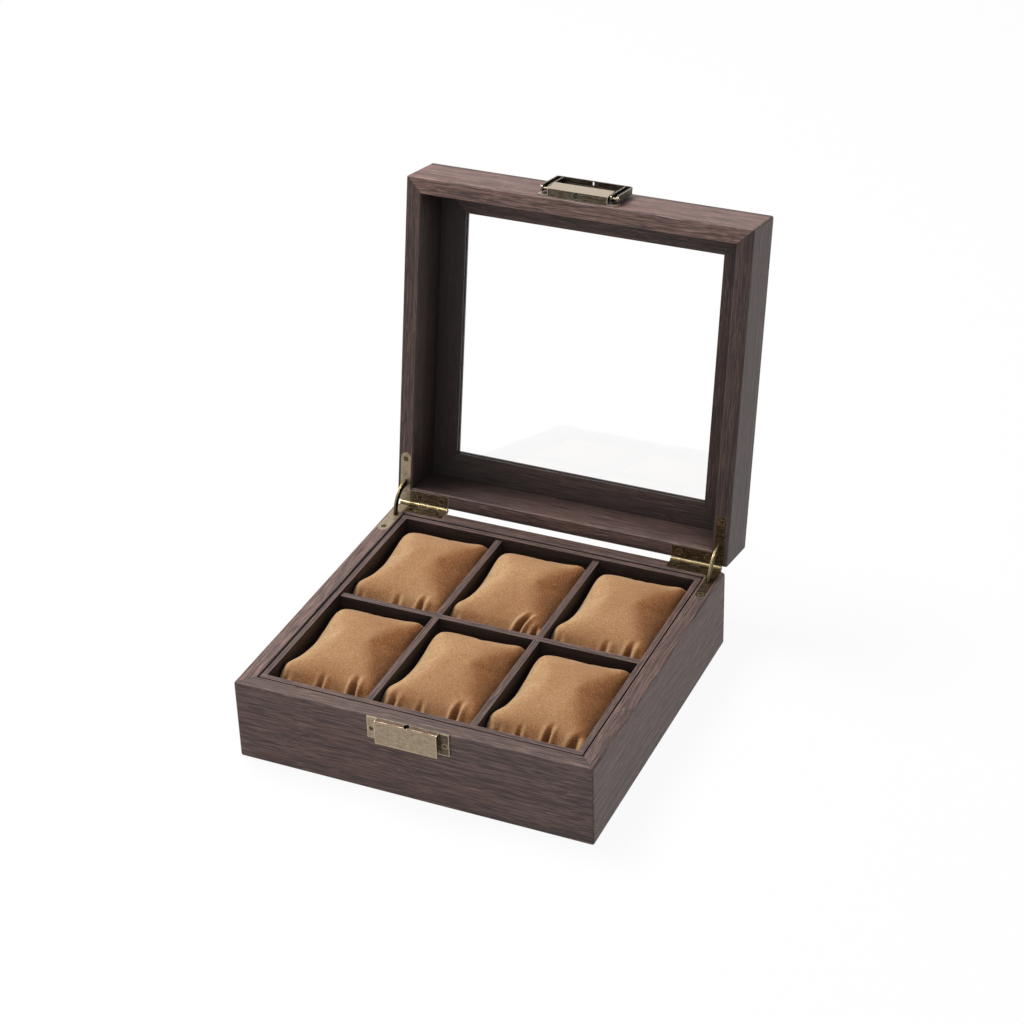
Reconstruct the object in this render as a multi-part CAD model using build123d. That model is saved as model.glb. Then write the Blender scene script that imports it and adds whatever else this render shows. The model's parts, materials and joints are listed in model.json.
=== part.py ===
from build123d import *
import os
from math import cos, radians, sin

os.makedirs("parts", exist_ok=True)

# Outer case
box_width = 210.0
box_depth = 201.0
base_height = 49.5
lid_height = 34.5
rim_gap = 0.4
wall = 9.6
edge_round = 1.4
parting_round = 3.2
inner_bevel = 0.6
panel_thickness = 4.0
panel_rebate = 4.8

# Lid top
rail_width = 25.4
rail_thickness = 5.5
glass_thickness = 2.0
glass_lift = 1.7
groove_depth = 4.2
glass_edge_gap = 0.2

# Tray
tray_gap_x = 0.8
tray_gap_y = 1.2
tray_shift_y = -0.4
tray_wall = 3.1
tray_floor_thickness = 2.5
tray_drop = 0.5
divider_thickness = 3.8
divider_drop = 2.0
middle_cell_width = 57.8
cross_divider_y = 0.8
lap_gap = 0.3

# Hinges
open_angle = 100.0
hinge_back = 0.6
knuckle_radius = 1.65
pin_radius = 0.8
pin_running_gap = 0.05
barrel_length = 30.9
barrel_side_margin = 2.8
knuckle_count = 5
knuckle_gap = 0.2
leaf_thickness = 1.2
wing_overrun = 0.1
arm_side_margin = 2.0
arm_width = 6.2
arm_length = 23.3
wing_width = 6.8
leaf_back_gap = 0.35
arm_screw_setback = 3.9
wing_screw_far_inset = 9.8
wing_screw_near_inset = 4.6

# Curved stays
stay_radius = 14.8
stay_width = 4.0
stay_thickness = 1.0
stay_inset = 0.3
stay_gap = 0.3
stay_head_thickness = 2.4
stay_head_start = 8.2
stay_head_end = 10.7
pocket_end_gap = 3.0

# Screws
screw_head_radius = 1.9
screw_shank_radius = 1.0
screw_head_height = 1.0
screw_length = 8.0
small_head_radius = 1.6
small_shank_radius = 0.8
small_head_height = 0.7
small_length = 6.0
recess_width = 0.5
recess_depth = 0.45

# Base catch
catch_sheet = 0.9
hook_width = 36.3
catch_ear_width = 5.85
hook_out = 4.0
catch_rise = 0.1
catch_height = 13.6
hook_height = 14.3
hook_bend = 1.0
hook_hole_radius = 1.6
hook_hole_out = 1.9
catch_screw_inset = 2.4
catch_screw_drop = 7.6

# Lid clasp, heights measured from the closed lid's lower edge
clasp_sheet = 0.8
clasp_ear_width = 6.25
clasp_lift = 1.5
clasp_ear_height = 6.6
clasp_plate_height = 15.6
cover_height = 10.6
cover_slope = 1.0
cover_lip = 1.4
clasp_ear_corner = 2.2
clasp_hole_radius = 1.6
clasp_hole_offset = 0.7
clasp_hole_out = 2.9
clasp_screw_inset = 3.0
clasp_screw_height = 3.2
pivot_height = 4.35
lug_inset = 1.95
lug_thickness = 0.8
lug_radius = 1.8
ring_side_gap = 0.35
ring_arm_width = 4.8
ring_arm_gap = 0.3
ring_hook_gap = 1.05
ring_face_gap = 0.3
ring_sheet = 0.9
ring_rise = 2.2
ring_lip = 2.0
ring_web_setback = 2.2
ring_eye_radius = 1.8
ring_pin_overrun = 0.5
ring_corner = 1.8
ring_slot_width = 1.1
ring_slot_margin = 0.5

# Pillows
pillow_back_gap = 4.6
pillow_front_gap = 0.9
pillow_side_gap = 0.6
pillow_rest_gap = 0.05

half_w = box_width / 2
half_d = box_depth / 2
lid_bottom = base_height + rim_gap
lid_top = lid_bottom + lid_height
rail_bottom = lid_top - rail_thickness
hinge_y = half_d + hinge_back
hinge_z = base_height + rim_gap / 2
inner_x = half_w - wall
inner_y = half_d - wall
hinge_axis = Axis((0, hinge_y, hinge_z), (1, 0, 0))
closed_mirror = Plane.XY.offset(hinge_z)
barrel_out = half_w - barrel_side_margin
barrel_in = barrel_out - barrel_length
wing_in = barrel_in - wing_overrun
arm_x1 = half_w - arm_side_margin
arm_x0 = arm_x1 - arm_width
arm_centre = (arm_x0 + arm_x1) / 2
stay_x = arm_centre - stay_inset


def block(x0, x1, y0, y1, z0, z1):
    size = Box(abs(x1 - x0), abs(y1 - y0), abs(z1 - z0))
    return Pos((x0 + x1) / 2, (y0 + y1) / 2, (z0 + z1) / 2) * size


def rod_x(x0, x1, y, z, radius):
    return Pos((x0 + x1) / 2, y, z) * Rot(0, 90, 0) * Cylinder(radius, abs(x1 - x0))


def rounded_case(z0, z1, parting_z):
    case = block(-half_w, half_w, -half_d, half_d, z0, z1)
    rear = [
        e for e in case.edges()
        if abs(e.center().Y - half_d) < 0.01 and abs(e.center().Z - parting_z) < 0.01
    ]
    case = fillet(rear, parting_round)
    others = []
    for e in case.edges():
        middle = e.center()
        near_parting = abs(middle.Z - parting_z) < parting_round + 0.1
        if abs(middle.X) < 1 and middle.Y > half_d - parting_round - 0.1 and near_parting:
            continue
        others.append(e)
    return fillet(others, edge_round)


def wedge(side, z0, z1):
    out = 5.0
    reach = 40.0
    a = half_w + out
    b = half_d + out
    c = half_w - reach
    d = half_d - reach
    outlines = {
        "front": [(-a, -b), (a, -b), (c, -d), (-c, -d)],
        "back": [(a, b), (-a, b), (-c, d), (c, d)],
        "left": [(-a, b), (-a, -b), (-c, -d), (-c, d)],
        "right": [(a, -b), (a, b), (c, d), (c, -d)],
    }
    points = outlines[side]
    face = make_face(Polyline(*points, close=True))
    return Pos(0, 0, z0) * extrude(face, amount=z1 - z0)


def bevel_inner_rim(frame, z):
    edges = []
    for e in frame.edges():
        middle = e.center()
        if abs(middle.Z - z) > 0.01:
            continue
        on_x = abs(abs(middle.X) - inner_x) < 0.01 and abs(middle.Y) < 1
        on_y = abs(abs(middle.Y) - inner_y) < 0.01 and abs(middle.X) < 1
        if on_x or on_y:
            edges.append(e)
    return chamfer(edges, inner_bevel)


def arc_band(r_in, r_out, a0, a1, x0, x1):
    def spot(radius, angle):
        return (hinge_y - radius * cos(radians(angle)), hinge_z + radius * sin(radians(angle)))

    middle = (a0 + a1) / 2
    plane = Plane(origin=(x0, 0, 0), x_dir=(0, 1, 0), z_dir=(1, 0, 0))
    outline = [
        ThreePointArc(spot(r_out, a0), spot(r_out, middle), spot(r_out, a1)),
        Line(spot(r_out, a1), spot(r_in, a1)),
        ThreePointArc(spot(r_in, a1), spot(r_in, middle), spot(r_in, a0)),
        Line(spot(r_in, a0), spot(r_out, a0)),
    ]
    return extrude(plane * make_face(outline), amount=x1 - x0)


def open_lid(shape):
    return shape.rotate(hinge_axis, -open_angle)


def left_of(shape):
    return mirror(shape, about=Plane.YZ)


def cross_recess(radius):
    return Box(radius * 1.3, recess_width, recess_depth * 2) + Box(recess_width, radius * 1.3, recess_depth * 2)


def screw_blank(head_radius, shank_radius, head_height, length):
    head = Pos(0, 0, -head_height / 2) * Cone(shank_radius, head_radius, head_height)
    shank = Pos(0, 0, -head_height - length / 2) * Cylinder(shank_radius, length)
    return head + shank


def single(shape):
    found = shape.solids()
    assert len(found) == 1, len(found)
    return found[0]


def save(name, *shapes):
    solids = []
    for shape in shapes:
        solids.extend(shape.solids())
    result = solids[0] if len(solids) == 1 else Compound(children=solids)
    result.label = name
    export_step(result, "parts/" + name + ".step")


# Hinge leaves: an L plate let into the rim, its back wing joined to the barrel
leaf_top = base_height
leaf_bottom = base_height - leaf_thickness
wing_y1 = hinge_y - knuckle_radius - leaf_back_gap
wing_y0 = wing_y1 - wing_width
arm_tip_y = wing_y0 - arm_length
tip_y = arm_tip_y + arm_width / 2
wing_screw_y = (wing_y0 + wing_y1) / 2
leaf_plate = block(wing_in, arm_x1, wing_y0, wing_y1, leaf_bottom, leaf_top)
leaf_plate += block(arm_x0, arm_x1, tip_y, wing_y1, leaf_bottom, leaf_top)
tip_centre = Pos(arm_centre, tip_y, (leaf_bottom + leaf_top) / 2)
leaf_plate += tip_centre * Cylinder(arm_width / 2, leaf_thickness)
mortise = leaf_plate + block(barrel_in, barrel_out, wing_y1 - 0.5, hinge_y, leaf_bottom, leaf_top + 1)

screw_spots = [
    (arm_centre, arm_tip_y + arm_screw_setback),
    (arm_x1 - wing_screw_far_inset, wing_screw_y),
    (wing_in + wing_screw_near_inset, wing_screw_y),
]
leaf_blank_screw = screw_blank(screw_head_radius, screw_shank_radius, screw_head_height, screw_length)
leaf_blanks = [Pos(x, y, leaf_top) * leaf_blank_screw for x, y in screw_spots]
leaf_screws = [blank - Pos(x, y, leaf_top) * cross_recess(screw_head_radius)
               for blank, (x, y) in zip(leaf_blanks, screw_spots)]

stay_in = stay_radius - stay_width
slot_x0 = stay_x - stay_thickness / 2 - stay_gap
slot_x1 = stay_x + stay_thickness / 2 + stay_gap
head_x0 = stay_x - stay_head_thickness / 2
head_x1 = stay_x + stay_head_thickness / 2
swing = open_angle / 2 + stay_head_end
leaf_slot = arc_band(stay_in - stay_gap, stay_radius + stay_gap, -12, 12, slot_x0, slot_x1)
stay_pocket = arc_band(
    stay_in - stay_gap, stay_radius + stay_gap,
    -swing - pocket_end_gap, 0,
    head_x0 - stay_gap, head_x1 + stay_gap,
)

pitch = (barrel_out - barrel_in) / knuckle_count


def leaf_with_knuckles(plate, numbers, bore_radius, z0, z1):
    leaf = plate
    for n in numbers:
        x0 = barrel_in + n * pitch + knuckle_gap / 2
        x1 = x0 + pitch - knuckle_gap
        leaf += block(x0, x1, wing_y1 - 0.5, hinge_y, z0, z1)
        leaf += rod_x(x0, x1, hinge_y, hinge_z, knuckle_radius)
    return leaf - rod_x(barrel_in - 1, barrel_out + 1, hinge_y, hinge_z, bore_radius)


base_leaf = leaf_with_knuckles(leaf_plate, [0, 2, 4], pin_radius, leaf_bottom, leaf_top)
lid_plate = mirror(leaf_plate, about=closed_mirror)
lid_mortise = mirror(mortise, about=closed_mirror)
lid_leaf = leaf_with_knuckles(
    lid_plate, [1, 3], pin_radius + pin_running_gap,
    lid_bottom, lid_bottom + leaf_thickness,
)
lid_blanks = [mirror(blank, about=closed_mirror) for blank in leaf_blanks]
lid_screws = [mirror(item, about=closed_mirror) for item in leaf_screws]
lid_pocket = mirror(stay_pocket, about=closed_mirror)
for blank in leaf_blanks:
    base_leaf -= blank
for blank in lid_blanks:
    lid_leaf -= blank
base_leaf = single(base_leaf - leaf_slot)
lid_leaf = single(lid_leaf - leaf_slot)
hinge_pin = rod_x(barrel_in, barrel_out, hinge_y, hinge_z, pin_radius)

# Curved stay, shown at full opening: a thin blade with a stop head at each end
blade = arc_band(
    stay_in, stay_radius, -stay_head_end, open_angle + stay_head_end,
    stay_x - stay_thickness / 2, stay_x + stay_thickness / 2,
)
low_head = arc_band(stay_in, stay_radius, -stay_head_end, -stay_head_start, head_x0, head_x1)
high_head = arc_band(
    stay_in, stay_radius, open_angle + stay_head_start, open_angle + stay_head_end,
    head_x0, head_x1,
)
stay = single(blade + low_head + high_head)

# Base catch: a folded plate whose middle turns over into a downward hook
front_y = -half_d
hook_half_width = hook_width / 2
catch_half_width = hook_half_width + catch_ear_width
catch_top = base_height + catch_rise
catch_bottom = catch_top - catch_height
hook_bottom = catch_top - hook_height
catch_screw_x = catch_half_width - catch_screw_inset
catch_screw_z = catch_top - catch_screw_drop
catch = block(-catch_half_width, catch_half_width, front_y - catch_sheet, front_y, catch_bottom, catch_top)
hook = block(-hook_half_width, hook_half_width, front_y - hook_out, front_y, hook_bottom, catch_top)
bend = [
    e for e in hook.edges()
    if abs(e.center().Y - (front_y - hook_out)) < 0.01 and abs(e.center().Z - catch_top) < 0.01
]
hook = fillet(bend, hook_bend)
hook -= block(
    -hook_half_width - 1, hook_half_width + 1,
    front_y - hook_out + catch_sheet, front_y - catch_sheet,
    hook_bottom - 1, catch_top - catch_sheet,
)
hook -= block(-hook_half_width - 1, hook_half_width + 1, front_y - catch_sheet, front_y + 1, 0, catch_bottom)
catch += hook
catch -= Pos(0, front_y - hook_hole_out, catch_top) * Cylinder(hook_hole_radius, 2 * catch_sheet)
front_facing = Rot(90, 0, 0)
small_screw = screw_blank(small_head_radius, small_shank_radius, small_head_height, small_length)
small_recess = cross_recess(small_head_radius)
catch_spots = [Pos(side * catch_screw_x, front_y - catch_sheet, catch_screw_z) for side in (-1, 1)]
catch_blanks = [spot * front_facing * small_screw for spot in catch_spots]
catch_screws = [spot * front_facing * (small_screw - small_recess) for spot in catch_spots]
for blank in catch_blanks:
    catch -= blank
catch = single(catch)

# Base: a rounded case hollowed, then divided at the mitres
base_frame = rounded_case(0, base_height, base_height)
base_frame -= block(-inner_x, inner_x, -inner_y, inner_y, -1, base_height + 1)
base_frame = bevel_inner_rim(base_frame, base_height)
rebate_x = half_w - panel_rebate
rebate_y = half_d - panel_rebate
base_frame -= block(-rebate_x, rebate_x, -rebate_y, rebate_y, -1, panel_thickness)
base_cuts = [mortise, stay_pocket] + leaf_blanks
for cut in base_cuts:
    base_frame -= cut
    base_frame -= left_of(cut)
for blank in catch_blanks:
    base_frame -= blank
for side in ("front", "back", "left", "right"):
    board = base_frame & wedge(side, -1, base_height + 1)
    save("base_" + side + "_wall", single(board))

save("base_bottom_panel", block(-rebate_x, rebate_x, -rebate_y, rebate_y, 0, panel_thickness))

# Tray insert
tray_x = inner_x - tray_gap_x
tray_y0 = -inner_y + tray_gap_y + tray_shift_y
tray_y1 = inner_y - tray_gap_y + tray_shift_y
floor_top = panel_thickness + tray_floor_thickness
tray_top = base_height - tray_drop
divider_top = base_height - divider_drop
well_x = tray_x - tray_wall
well_y0 = tray_y0 + tray_wall
well_y1 = tray_y1 - tray_wall
half_t = divider_thickness / 2
divider_spacing = middle_cell_width / 2 + half_t
save("tray_floor", block(-tray_x, tray_x, tray_y0, tray_y1, panel_thickness, floor_top))
save("tray_front_wall", block(-tray_x, tray_x, tray_y0, well_y0, floor_top, tray_top))
save("tray_back_wall", block(-tray_x, tray_x, well_y1, tray_y1, floor_top, tray_top))
save("tray_left_wall", block(-tray_x, -well_x, well_y0, well_y1, floor_top, tray_top))
save("tray_right_wall", block(well_x, tray_x, well_y0, well_y1, floor_top, tray_top))

lap_z = (floor_top + divider_top) / 2
lap_half = half_t + lap_gap / 2
cross = block(-well_x, well_x, cross_divider_y - half_t, cross_divider_y + half_t, floor_top, divider_top)
for x in (-divider_spacing, divider_spacing):
    cross -= block(
        x - lap_half, x + lap_half, cross_divider_y - half_t - 1, cross_divider_y + half_t + 1,
        floor_top - 1, lap_z,
    )
    long_divider = block(x - half_t, x + half_t, well_y0, well_y1, floor_top, divider_top)
    long_divider -= block(
        x - half_t - 1, x + half_t + 1, cross_divider_y - lap_half, cross_divider_y + lap_half,
        lap_z, divider_top + 1,
    )
    save("divider_left" if x < 0 else "divider_right", single(long_divider))
save("divider_cross", single(cross))

# Hinge pieces of the base
save("hinge_base_leaf_right", base_leaf)
save("hinge_base_leaf_left", left_of(base_leaf))
save("hinge_pin_right", hinge_pin)
save("hinge_pin_left", left_of(hinge_pin))
save("hinge_screws_base", *leaf_screws, *[left_of(item) for item in leaf_screws])
save("stay_right", stay)
save("stay_left", left_of(stay))
save("catch_plate", catch)
save("catch_screws", *catch_screws)

def at_out(out):
    return front_y - out


# Lid clasp housing: back plate with ears, bottom flange and sloping cover of one folded sheet
clasp_ear_half_width = hook_half_width + clasp_ear_width
clasp_bottom = lid_bottom + clasp_lift
clasp_ear_top = clasp_bottom + clasp_ear_height
clasp_plate_top = clasp_bottom + clasp_plate_height
cover_top = clasp_bottom + cover_height
pivot_out = catch_sheet + ring_arm_gap + ring_rise
pivot_z = clasp_bottom + pivot_height
cover_low_out = pivot_out + pin_radius + clasp_sheet
cover_high_out = cover_low_out + cover_slope
clasp_hole_x = -clasp_hole_offset
clasp_screw_x = clasp_ear_half_width - clasp_screw_inset
clasp_screw_z = clasp_bottom + clasp_screw_height
lug_x = hook_half_width - lug_inset
housing = block(
    -hook_half_width, hook_half_width, at_out(clasp_sheet), front_y, clasp_bottom, clasp_plate_top,
)
ears = block(
    -clasp_ear_half_width, clasp_ear_half_width, at_out(clasp_sheet), front_y,
    clasp_bottom, clasp_ear_top,
)
ear_corners = [
    e for e in ears.edges().filter_by(Axis.Y)
    if abs(abs(e.center().X) - clasp_ear_half_width) < 0.01
]
housing += fillet(ear_corners, clasp_ear_corner)
cover_outline = [
    (0, clasp_bottom),
    (cover_low_out, clasp_bottom),
    (cover_high_out, cover_top),
    (cover_high_out - cover_lip, cover_top + 0.5),
    (cover_high_out - cover_lip, cover_top + 0.5 - clasp_sheet),
    (cover_high_out - clasp_sheet - 0.05, cover_top - clasp_sheet),
    (cover_low_out - clasp_sheet, clasp_bottom + clasp_sheet),
    (0, clasp_bottom + clasp_sheet),
]
cover_points = [(at_out(out), z) for out, z in cover_outline]
cover_face = Plane(origin=(-hook_half_width, 0, 0), x_dir=(0, 1, 0), z_dir=(1, 0, 0)) * make_face(
    Polyline(*cover_points, close=True)
)
housing += extrude(cover_face, amount=2 * hook_half_width)
pivot_y = at_out(pivot_out)
for side in (-1, 1):
    x0 = side * lug_x
    x1 = side * (lug_x + lug_thickness)
    housing += rod_x(x0, x1, pivot_y, pivot_z, lug_radius)
    housing += block(x0, x1, pivot_y, front_y, pivot_z - lug_radius, pivot_z + lug_radius)
housing -= rod_x(-half_w, half_w, pivot_y, pivot_z, pin_radius)
hole_spot = Pos(clasp_hole_x, at_out(clasp_hole_out), clasp_bottom)
housing -= hole_spot * Cylinder(clasp_hole_radius, 3 * clasp_sheet)
clasp_spots = [Pos(side * clasp_screw_x, at_out(clasp_sheet), clasp_screw_z) for side in (-1, 1)]
clasp_blanks = [spot * front_facing * small_screw for spot in clasp_spots]
clasp_screws = [spot * front_facing * (small_screw - small_recess) for spot in clasp_spots]
for blank in clasp_blanks:
    housing -= blank
housing = single(housing)
window_half = hook_half_width + ring_side_gap
ring_half_width = window_half + ring_arm_width
clasp_pin_half_length = ring_half_width + ring_pin_overrun
clasp_pin = rod_x(-clasp_pin_half_length, clasp_pin_half_length, pivot_y, pivot_z, pin_radius)

# Clasp ring, lying back against the lid: two channel arms and a standing bar that goes under the hook
ring_web_out = 2 * pivot_out - hook_out - ring_face_gap - ring_sheet
ring_tip_y = at_out(pivot_out + ring_rise)
ring_web_y0 = at_out(ring_web_out + ring_sheet)
ring_web_y1 = at_out(ring_web_out)
window_top = pivot_z + (pivot_z - hook_bottom) + ring_hook_gap
ring_z1 = window_top + ring_sheet
ring = block(-ring_half_width, ring_half_width, ring_tip_y, ring_web_y1, pivot_z, ring_z1)
outer_corners = [
    e for e in ring.edges().filter_by(Axis.Y)
    if abs(e.center().Z - ring_z1) < 0.01 and abs(abs(e.center().X) - ring_half_width) < 0.01
]
ring = fillet(outer_corners, ring_corner)
ring -= block(
    -window_half, window_half, ring_tip_y - 1, ring_web_y1 + 1, pivot_z - 1, window_top - ring_lip,
)
ring -= block(-window_half, window_half, ring_tip_y - 1, ring_web_y0, pivot_z - 1, window_top)
for side in (-1, 1):
    inner_flange_x = side * (window_half + ring_sheet)
    outer_flange_x = side * (ring_half_width - ring_sheet)
    ring -= block(
        inner_flange_x, outer_flange_x, ring_tip_y - 1, ring_web_y0, pivot_z - 1, window_top,
    )
    ring -= block(
        inner_flange_x, outer_flange_x, ring_tip_y - 1, ring_web_y1 + 1,
        pivot_z - 1, pivot_z + ring_web_setback,
    )
    ring += rod_x(side * window_half, inner_flange_x, pivot_y, pivot_z, ring_eye_radius)
    ring += rod_x(outer_flange_x, side * ring_half_width, pivot_y, pivot_z, ring_eye_radius)
ring -= rod_x(-half_w, half_w, pivot_y, pivot_z, pin_radius + pin_running_gap)
ring -= block(
    clasp_hole_x - ring_slot_width / 2, clasp_hole_x + ring_slot_width / 2,
    ring_tip_y + ring_slot_margin, ring_web_y0 - ring_slot_margin, window_top - 1, ring_z1 + 1,
)
ring = single(ring)

# Lid, modelled closed and then turned open about the hinge axis
lid_case = rounded_case(lid_bottom, lid_top, lid_bottom)
lid_case -= block(-inner_x, inner_x, -inner_y, inner_y, lid_bottom - 1, rail_bottom)
lid_case = bevel_inner_rim(lid_case, lid_bottom)
window_x = half_w - rail_width
window_y = half_d - rail_width
lid_case -= block(-window_x, window_x, -window_y, window_y, rail_bottom - 1, lid_top + 1)
pane_z0 = rail_bottom + glass_lift
pane_z1 = pane_z0 + glass_thickness
groove_x = window_x + groove_depth
groove_y = window_y + groove_depth
lid_case -= block(-groove_x, groove_x, -groove_y, groove_y, pane_z0, pane_z1)
lid_cuts = [lid_mortise, lid_pocket] + lid_blanks
for cut in lid_cuts:
    lid_case -= cut
    lid_case -= left_of(cut)
for blank in clasp_blanks:
    lid_case -= blank
for side in ("front", "back", "left", "right"):
    lid_wall = lid_case & wedge(side, lid_bottom - 1, rail_bottom)
    save("lid_" + side + "_wall", open_lid(single(lid_wall)))
    lid_rail = lid_case & wedge(side, rail_bottom, lid_top + 1)
    save("lid_" + side + "_rail", open_lid(single(lid_rail)))
pane_x = groove_x - glass_edge_gap
pane_y = groove_y - glass_edge_gap
save("glass_pane", open_lid(block(-pane_x, pane_x, -pane_y, pane_y, pane_z0, pane_z1)))
save("hinge_lid_leaf_right", open_lid(lid_leaf))
save("hinge_lid_leaf_left", open_lid(left_of(lid_leaf)))
save("hinge_screws_lid", *[open_lid(s) for s in lid_screws], *[open_lid(left_of(s)) for s in lid_screws])
save("clasp_housing", open_lid(housing))
save("clasp_pin", open_lid(clasp_pin))
save("clasp_screws", *[open_lid(s) for s in clasp_screws])
save("clasp_ring", open_lid(ring))


# Pillows: soft blocks with drawn-in sides, four ears and a crown
def pillow_ring(cx, cy, z, half_x, half_y, sag_x, sag_y, corner):
    x0 = cx - half_x
    x1 = cx + half_x
    y0 = cy - half_y
    y1 = cy + half_y
    k = corner
    m = corner * 0.29
    outline = [
        ThreePointArc((x0 + k, y0, z), (cx, y0 + sag_y, z), (x1 - k, y0, z)),
        ThreePointArc((x1 - k, y0, z), (x1 - m, y0 + m, z), (x1, y0 + k, z)),
        ThreePointArc((x1, y0 + k, z), (x1 - sag_x, cy, z), (x1, y1 - k, z)),
        ThreePointArc((x1, y1 - k, z), (x1 - m, y1 - m, z), (x1 - k, y1, z)),
        ThreePointArc((x1 - k, y1, z), (cx, y1 - sag_y, z), (x0 + k, y1, z)),
        ThreePointArc((x0 + k, y1, z), (x0 + m, y1 - m, z), (x0, y1 - k, z)),
        ThreePointArc((x0, y1 - k, z), (x0 + sag_x, cy, z), (x0, y0 + k, z)),
        ThreePointArc((x0, y0 + k, z), (x0 + m, y0 + m, z), (x0 + k, y0, z)),
    ]
    return make_face(outline)


# height above the tray floor, then insets from the widest side, front and back, sag x, sag y, corner
pillow_levels = [
    (0.0, 6.3, 8.0, 8.0, -1.5, -1.5, 8.0),
    (5.0, 1.8, 2.5, 3.0, -1.0, -1.0, 7.0),
    (16.0, 0.1, 0.0, 0.6, -0.4, -0.4, 5.0),
    (28.0, 0.0, 3.0, 0.4, 0.8, 0.8, 3.0),
    (35.5, 0.7, 8.0, 1.0, 2.2, 2.0, 2.2),
    (39.0, 3.1, 12.0, 3.4, 1.6, 1.4, 3.0),
    (42.0, 8.3, 19.0, 9.0, -1.2, -1.2, 6.0),
    (43.9, 17.3, 29.5, 19.5, -1.5, -1.5, 7.0),
]

front_cell_y1 = cross_divider_y - half_t
rear_cell_y0 = cross_divider_y + half_t
side_cell_width = well_x - divider_spacing - half_t
cell_depth = min(front_cell_y1 - well_y0, well_y1 - rear_cell_y0)
pillow_half_width = min(middle_cell_width, side_cell_width) / 2 - pillow_side_gap
pillow_depth = cell_depth - pillow_back_gap - pillow_front_gap


def pillow(cx, back_y):
    rings = []
    for up, side_in, front_in, back_in, sag_x, sag_y, corner in pillow_levels:
        half_x = pillow_half_width - side_in
        y_front = back_y - pillow_depth + front_in
        y_back = back_y - back_in
        middle = (y_front + y_back) / 2
        reach = (y_back - y_front) / 2
        z = floor_top + pillow_rest_gap + up
        bend_radius = min(corner, 0.7 * half_x, 0.7 * reach)
        rings.append(pillow_ring(cx, middle, z, half_x, reach, sag_x, sag_y, bend_radius))
    return single(loft(rings))


side_x = (divider_spacing + half_t + well_x) / 2
columns = [("left", -side_x), ("middle", 0.0), ("right", side_x)]
rows = [
    ("front", front_cell_y1 - pillow_back_gap),
    ("rear", well_y1 - pillow_back_gap),
]
for row_name, back_y in rows:
    for column_name, cx in columns:
        save("pillow_" + row_name + "_" + column_name, pillow(cx, back_y))
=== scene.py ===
import json
import math

import bpy
from mathutils import Matrix, Vector


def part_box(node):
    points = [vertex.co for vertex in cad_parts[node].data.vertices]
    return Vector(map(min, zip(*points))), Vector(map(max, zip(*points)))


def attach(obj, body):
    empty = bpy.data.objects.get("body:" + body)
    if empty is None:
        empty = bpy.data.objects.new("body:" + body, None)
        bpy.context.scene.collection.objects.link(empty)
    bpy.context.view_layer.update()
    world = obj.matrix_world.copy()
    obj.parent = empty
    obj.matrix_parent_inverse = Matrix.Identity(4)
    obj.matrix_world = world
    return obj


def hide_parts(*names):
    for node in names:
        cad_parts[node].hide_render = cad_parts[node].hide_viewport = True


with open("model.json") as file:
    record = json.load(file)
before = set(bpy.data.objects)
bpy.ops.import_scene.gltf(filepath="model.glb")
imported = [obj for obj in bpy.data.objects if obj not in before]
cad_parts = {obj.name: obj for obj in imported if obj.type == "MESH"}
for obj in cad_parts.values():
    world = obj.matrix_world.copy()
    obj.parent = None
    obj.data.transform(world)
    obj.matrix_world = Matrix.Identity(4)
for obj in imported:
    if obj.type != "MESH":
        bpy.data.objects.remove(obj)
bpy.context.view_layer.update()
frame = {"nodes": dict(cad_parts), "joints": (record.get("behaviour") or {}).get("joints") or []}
scene = bpy.context.scene
nodes = frame["nodes"]

# Places on the box, and how far the lid turns to shut
WALL_INSIDE, HALF_W = (corner.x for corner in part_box("base_right_wall"))
HALF_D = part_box("base_back_wall")[1].y
TRAY_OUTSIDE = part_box("tray_right_wall")[1].x
STAY_X = sum(corner.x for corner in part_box("stay_right")) / 2
CATCH_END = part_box("catch_plate")[1].x
CLASP_PIN_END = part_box("clasp_pin")[1].x
lid_hinge = next(joint for joint in frame["joints"] if joint["name"] == "lid_hinge")
HINGE = Vector(lid_hinge["pos_m"])
LID_TURN = math.radians(-lid_hinge["range_deg"][0])

# Directions on the open lid that look down, and to the front, once it is shut
lid_open = Matrix.Rotation(-LID_TURN, 3, "X")
DOWN_SHUT = lid_open @ Vector((0.0, 0.0, -1.0))
FRONT_SHUT = lid_open @ Vector((0.0, -1.0, 0.0))


def srgb(r, g, b):
    """A colour given as a picture's values from 0 to 255."""

    def linear(c):
        c /= 255
        return c / 12.92 if c <= 0.04045 else ((c + 0.055) / 1.055) ** 2.4

    return (linear(r), linear(g), linear(b), 1.0)


# Camera
cam_data = bpy.data.cameras.new("Camera")
cam_data.sensor_width = 36.0
cam_data.lens = 86.816
cam_data.clip_start = 0.05
cam_data.clip_end = 60.0
camera = bpy.data.objects.new("Camera", cam_data)
scene.collection.objects.link(camera)
cam_place = Vector((0.491339, -1.027738, 0.822623))
cam_right = Vector((0.9146105, 0.4034595, -0.026611))
cam_up = Vector((-0.190624, 0.4882985, 0.8516027))
cam_back = Vector((0.3565813, -0.773812, 0.523512))
cam_turn = Matrix((cam_right, cam_up, cam_back)).transposed().to_4x4()
camera.matrix_world = Matrix.Translation(cam_place) @ cam_turn
scene.camera = camera


# Materials
# How well a rounded normal still agrees with the flat one, from no edge to a full edge
EDGE_TURN = (0.985, 0.86)


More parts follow.
